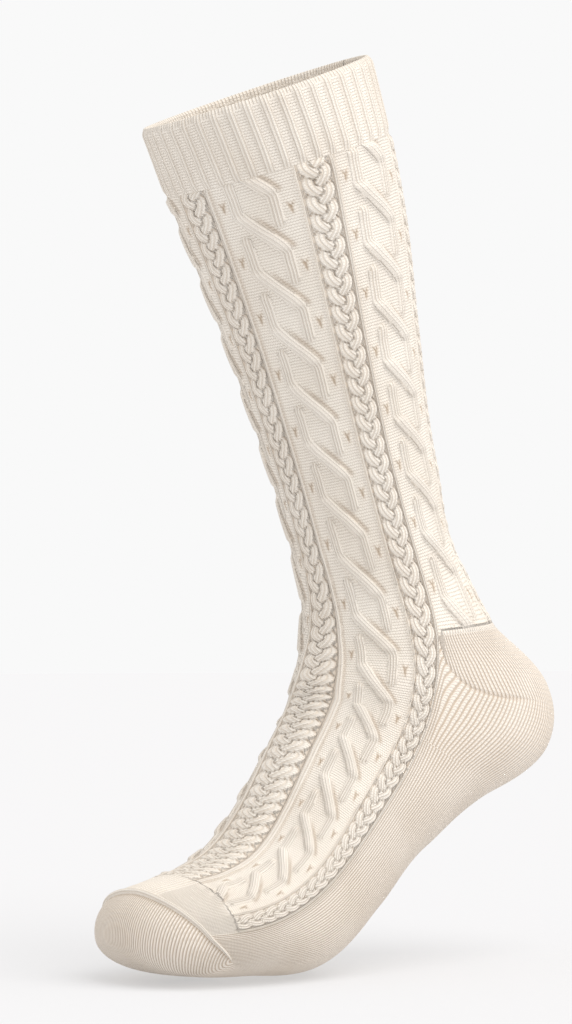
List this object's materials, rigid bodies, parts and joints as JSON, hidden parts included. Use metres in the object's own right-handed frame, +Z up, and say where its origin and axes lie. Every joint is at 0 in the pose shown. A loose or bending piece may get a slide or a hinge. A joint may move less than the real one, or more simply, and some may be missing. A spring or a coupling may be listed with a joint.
{
  "type": "knee-high cable-knit sock",
  "caption": "Knee-high cable-knit sock, held open as worn on tiptoe: ribbed cuff, leg with raised plaited columns, plain heel, sole and toe cap. It covers the foot and lower leg.",
  "frame": {"origin": "centre of the leg opening, in the plane of the cuff's rim, where the wearer's leg holds the sock", "axes": "+Z up as shown, on tiptoe; the toes point to -X and the heel to +X; the XZ plane is the mirror plane of the form, and the sock's leg leans 22.5 degrees towards the toes at its mouth"},
  "size_m": [0.2164, 0.0934, 0.3676],
  "materials": {
    "ribbed_knit": "soft matt ribbed yarn",
    "cable_knit": "soft matt cable-knit yarn",
    "plain_knit": "soft matt plain-knit yarn",
    "linked_seam": "soft matt linked yarn"
  },
  "bodies": {
    "root": {"cuff": "ribbed_knit", "leg": "cable_knit", "heel": "plain_knit", "instep": "cable_knit", "sole": "plain_knit", "toe_cap": "plain_knit", "toe_seam": "linked_seam"}
  },
  "joints": []
}
